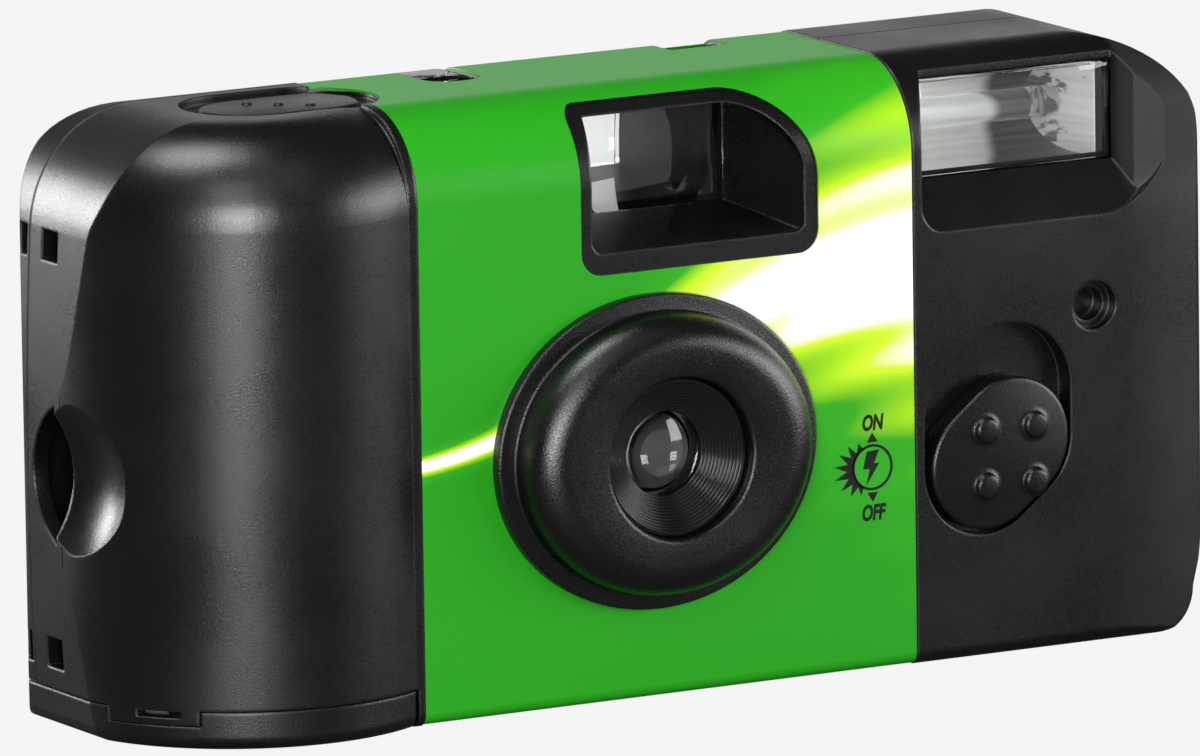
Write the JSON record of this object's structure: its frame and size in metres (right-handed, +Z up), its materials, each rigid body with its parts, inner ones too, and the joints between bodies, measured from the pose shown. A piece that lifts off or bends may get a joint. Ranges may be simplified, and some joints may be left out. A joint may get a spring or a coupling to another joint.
{
  "type": "disposable film camera",
  "caption": "Single-use film camera: black moulded body with hand grip and printed wrap, domed lens surround, viewfinder, flash with sliding switch, shutter button and thumb wheel.",
  "frame": {"origin": "under the middle of the overall box, on the surface the camera stands on", "axes": "+X along the width towards the flash end, +Y from the lens to the back, +Z up"},
  "size_m": [0.108, 0.0326, 0.054],
  "materials": {
    "cover_black": "fine-grained black moulding",
    "label_print": "glossy printed paper wrap",
    "bezel_black": "satin black moulding",
    "inner_black": "flat black moulding",
    "blade_metal": "blackened sheet",
    "steel": "bare spring steel",
    "white_plastic": "white moulding",
    "clear_lens": "clear moulded lens",
    "clear_panel": "clear ribbed panel",
    "amber_clear": "tinted clear moulding",
    "reflector": "bright foil",
    "cartridge_paint": "painted tinplate",
    "felt": "black plush",
    "film_base": "glossy film",
    "board": "bare circuit board",
    "sleeve": "shrink sleeve",
    "winding": "taped copper winding",
    "contact_brass": "bare spring brass",
    "cell_jacket": "printed steel jacket"
  },
  "bodies": {
    "body": {"front_cover": "cover_black", "rear_cover": "cover_black", "bottom_lid": "cover_black", "label_wrap": "label_print", "lens_bezel": "bezel_black", "lens_retainer": "inner_black", "taking_lens": "clear_lens", "main_frame": "inner_black", "shutter_plate": "inner_black", "kick_spring": "steel", "wheel_pawl": "inner_black", "counter_window": "clear_lens", "cartridge_shell": "cartridge_paint", "cartridge_caps": "cartridge_paint", "cartridge_felt": "felt", "film_strip": "film_base", "viewfinder_tube": "inner_black", "viewfinder_objective": "clear_lens", "viewfinder_eyepiece": "clear_lens", "flash_lens": "clear_panel", "flash_reflector": "reflector", "flash_tube": "clear_panel", "flash_board": "board", "flash_capacitor": "sleeve", "flash_transformer": "winding", "trigger_coil": "winding", "sync_contact": "contact_brass", "battery": "cell_jacket", "battery_contact_pos": "steel", "battery_contact_neg": "steel", "switch_contact": "contact_brass", "ready_lamp": "clear_panel"},
    "button": {"shutter_button": "cover_black"},
    "release": {"release_lever": "inner_black"},
    "wheel": {"advance_wheel": "cover_black", "cartridge_spool": "inner_black"},
    "sprocket": {"sprocket_shaft": "white_plastic"},
    "counter": {"counter_disc": "inner_black"},
    "supply": {"supply_spool": "inner_black", "film_roll": "film_base"},
    "switch": {"flash_switch": "cover_black", "switch_slider": "inner_black", "lamp_guide": "amber_clear"},
    "kick": {"kick_lever": "steel"},
    "blade": {"shutter_blade": "blade_metal"}
  },
  "joints": [
    {"name": "shutter_press", "type": "slide", "parent": "body", "child": "button", "axis": [0, 0, -1], "range_m": [0, 0.0012], "stiffness_N_per_m": 800, "springref_m": -0.0003},
    {"name": "release_rock", "type": "hinge", "parent": "body", "child": "release", "pos_m": [-0.0325, -0.00425, 0.0498], "axis": [-1, 0, 0], "range_deg": [0, 15]},
    {"name": "wheel_turn", "type": "hinge", "parent": "body", "child": "wheel", "pos_m": [-0.0367, 0.00255, 0.0457], "axis": [0, 0, 1], "continuous": true},
    {"name": "sprocket_turn", "type": "hinge", "parent": "body", "child": "sprocket", "pos_m": [-0.0166, 0.00395, 0.04], "axis": [0, 0, 1], "continuous": true},
    {"name": "counter_turn", "type": "hinge", "parent": "body", "child": "counter", "pos_m": [-0.0196, 0.00595, 0.0499], "axis": [0, 0, 1], "continuous": true},
    {"name": "supply_turn", "type": "hinge", "parent": "body", "child": "supply", "pos_m": [0.0329, 0.00335, 0.0222], "axis": [0, 0, 1], "continuous": true},
    {"name": "flash_switch_slide", "type": "slide", "parent": "body", "child": "switch", "axis": [0, 0, 1], "range_m": [0, 0.0043]},
    {"name": "kick_swing", "type": "hinge", "parent": "body", "child": "kick", "pos_m": [0.0056, -0.00895, 0.0335], "axis": [0, -1, 0], "range_deg": [0, 25], "stiffness_Nm_per_rad": 0.002, "springref_deg": -5.73},
    {"name": "blade_swing", "type": "hinge", "parent": "body", "child": "blade", "pos_m": [0.0054, -0.00815, 0.0288], "axis": [0, -1, 0], "range_deg": [0, 30]}
  ],
  "couplings": [
    {"joint": "release_rock", "follows": "shutter_press", "rad_per_m": 217.9},
    {"joint": "sprocket_turn", "follows": "wheel_turn", "ratio": 1.21},
    {"joint": "counter_turn", "follows": "wheel_turn", "ratio": -0.0333},
    {"joint": "supply_turn", "follows": "wheel_turn", "ratio": 0.67},
    {"joint": "blade_swing", "follows": "kick_swing", "ratio": 1.2}
  ]
}
